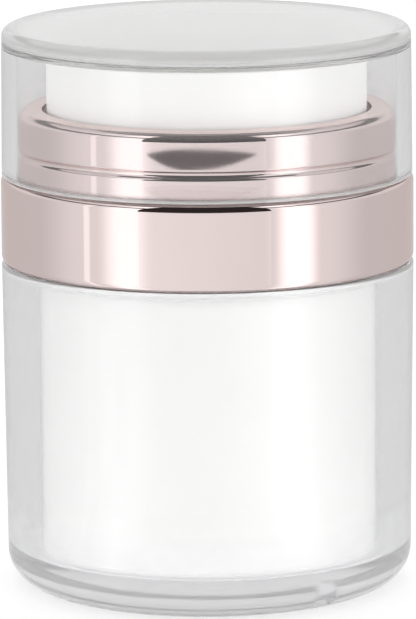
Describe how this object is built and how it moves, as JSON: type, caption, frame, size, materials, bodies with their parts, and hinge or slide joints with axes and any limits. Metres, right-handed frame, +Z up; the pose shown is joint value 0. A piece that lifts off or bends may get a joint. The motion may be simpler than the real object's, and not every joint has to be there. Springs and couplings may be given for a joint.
{
  "type": "airless pump jar",
  "caption": "Round airless cream jar: thick clear body round a white cup, metallised screw collar carrying a press-button pump, and a clear overcap.",
  "frame": {"origin": "centre of the jar's foot, on the surface that it stands on", "axes": "+Z up along the axis of the jar, the pump and the thread; -Y is the side that the picture shows"},
  "size_m": [0.062, 0.062, 0.085],
  "materials": {
    "clear_acrylic": "polished clear acrylic",
    "white_plastic": "smooth moulded white polypropylene",
    "rose_gold": "plastic with a vacuum-metallised pale rose-gold mirror coat",
    "natural_plastic": "uncoloured moulded polypropylene",
    "soft_seal": "soft pale elastomer",
    "spring_steel": "bright stainless steel"
  },
  "bodies": {
    "jar": {"outer_jar": "clear_acrylic", "inner_cup": "white_plastic"},
    "follower": {"follower_piston": "natural_plastic"},
    "seal": {"pump_gasket": "soft_seal"},
    "closure": {"collar_sleeve": "rose_gold", "collar_core": "natural_plastic", "pump_housing": "natural_plastic", "lock_ring": "natural_plastic", "return_spring": "spring_steel"},
    "ball": {"inlet_ball": "spring_steel"},
    "actuator": {"press_button": "white_plastic", "outlet_valve": "soft_seal", "stem": "natural_plastic", "piston_rod": "natural_plastic"},
    "piston": {"pump_piston": "natural_plastic"},
    "cap": {"overcap": "clear_acrylic"}
  },
  "joints": [
    {"name": "follower_rise", "type": "slide", "parent": "jar", "child": "follower", "axis": [0, 0, 1], "range_m": [0, 0.0379]},
    {"name": "closure_lift", "type": "slide", "parent": "jar", "child": "seal", "axis": [0, 0, 1], "range_m": [0, 0.0045]},
    {"name": "closure_turn", "type": "hinge", "parent": "seal", "child": "closure", "pos_m": [0, 0, 0.056], "axis": [0, 0, 1], "range_deg": [0, 541]},
    {"name": "ball_lift", "type": "slide", "parent": "closure", "child": "ball", "axis": [0, 0, 1], "range_m": [0, 0.0007]},
    {"name": "button_press", "type": "slide", "parent": "closure", "child": "actuator", "axis": [0, 0, -1], "range_m": [0, 0.005], "stiffness_N_per_m": 1500, "springref_m": -0.003, "deforming": ["return_spring"]},
    {"name": "piston_slip", "type": "slide", "parent": "actuator", "child": "piston", "axis": [0, 0, 1], "range_m": [0, 0.0007]},
    {"name": "cap_lift", "type": "slide", "parent": "closure", "child": "cap", "axis": [0, 0, 1], "range_m": [0, 0.03]}
  ],
  "couplings": [
    {"joint": "closure_turn", "follows": "closure_lift", "rad_per_m": 2094.4}
  ]
}
